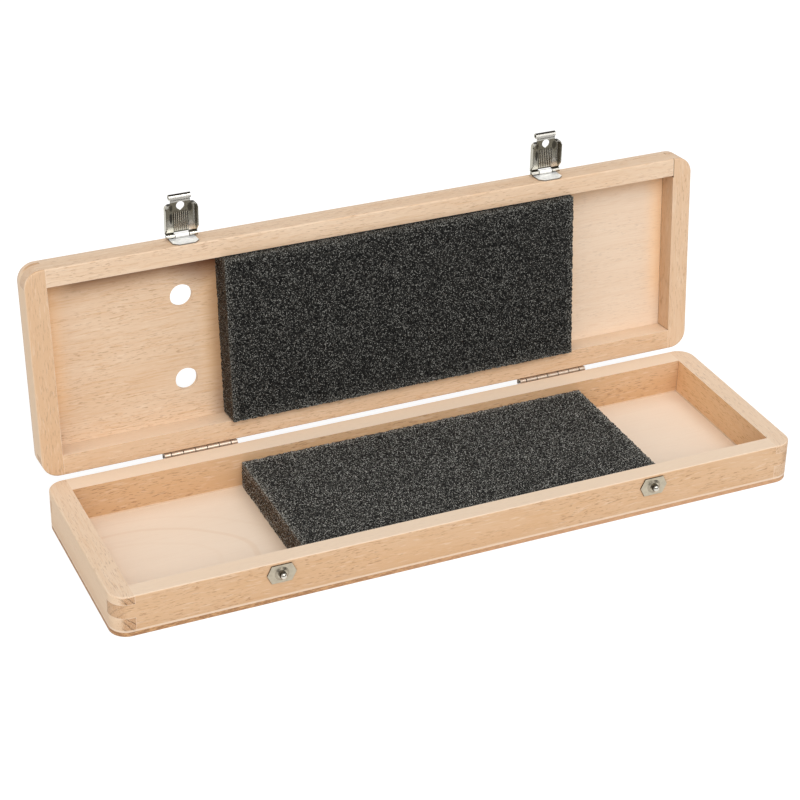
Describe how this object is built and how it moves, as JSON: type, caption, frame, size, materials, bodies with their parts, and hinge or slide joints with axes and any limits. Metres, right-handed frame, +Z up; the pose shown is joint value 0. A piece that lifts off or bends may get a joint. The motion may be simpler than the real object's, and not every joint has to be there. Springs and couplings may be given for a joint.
{
  "type": "brush box with hinged lid",
  "caption": "Long shallow wooden box with a hinged lid, foam pads in base and lid, two vent holes and two snap latches, shown open.",
  "frame": {"origin": "centre of the base's underside", "axes": "+X along the box to the right, +Y from the front to the hinges, +Z up"},
  "size_m": [0.37, 0.1405, 0.1571],
  "materials": {
    "beech": "sanded and lightly oiled beech",
    "beech_plywood": "sanded beech veneer",
    "foam": "open-cell charcoal foam",
    "hinge_steel": "nickel-plated sheet steel",
    "latch_nickel": "bright nickel plate",
    "screws": "nickel-plated steel"
  },
  "bodies": {
    "base": {"base_back_slat": "beech", "base_bottom_panel": "beech_plywood", "base_foam_pad": "foam", "base_front_slat": "beech", "base_hinge_screws": "screws", "base_left_end": "beech", "base_right_end": "beech", "hinge_left_base_leaf": "hinge_steel", "hinge_left_pin": "hinge_steel", "hinge_right_base_leaf": "hinge_steel", "hinge_right_pin": "hinge_steel", "strike_left_plate": "latch_nickel", "strike_left_stud": "latch_nickel", "strike_right_plate": "latch_nickel", "strike_right_stud": "latch_nickel"},
    "lid": {"hinge_left_lid_leaf": "hinge_steel", "hinge_right_lid_leaf": "hinge_steel", "latch_left_pin": "latch_nickel", "latch_left_plate": "latch_nickel", "latch_right_pin": "latch_nickel", "latch_right_plate": "latch_nickel", "lid_back_slat": "beech", "lid_foam_pad": "foam", "lid_front_slat": "beech", "lid_hinge_screws": "screws", "lid_left_end": "beech", "lid_right_end": "beech", "lid_top_panel": "beech_plywood"},
    "latch_left": {"latch_left_cover": "latch_nickel"},
    "latch_right": {"latch_right_cover": "latch_nickel"}
  },
  "joints": [
    {"name": "lid_hinge", "type": "hinge", "parent": "base", "child": "lid", "pos_m": [0, 0.0569, 0.0224], "axis": [1, 0, 0], "range_deg": [0, 95]},
    {"name": "latch_left_swing", "type": "hinge", "parent": "lid", "child": "latch_left", "pos_m": [-0.1012, 0.07634, 0.13564], "axis": [1, 0, 0], "range_deg": [-95, 85]},
    {"name": "latch_right_swing", "type": "hinge", "parent": "lid", "child": "latch_right", "pos_m": [0.1012, 0.07634, 0.13564], "axis": [1, 0, 0], "range_deg": [-95, 85]}
  ]
}
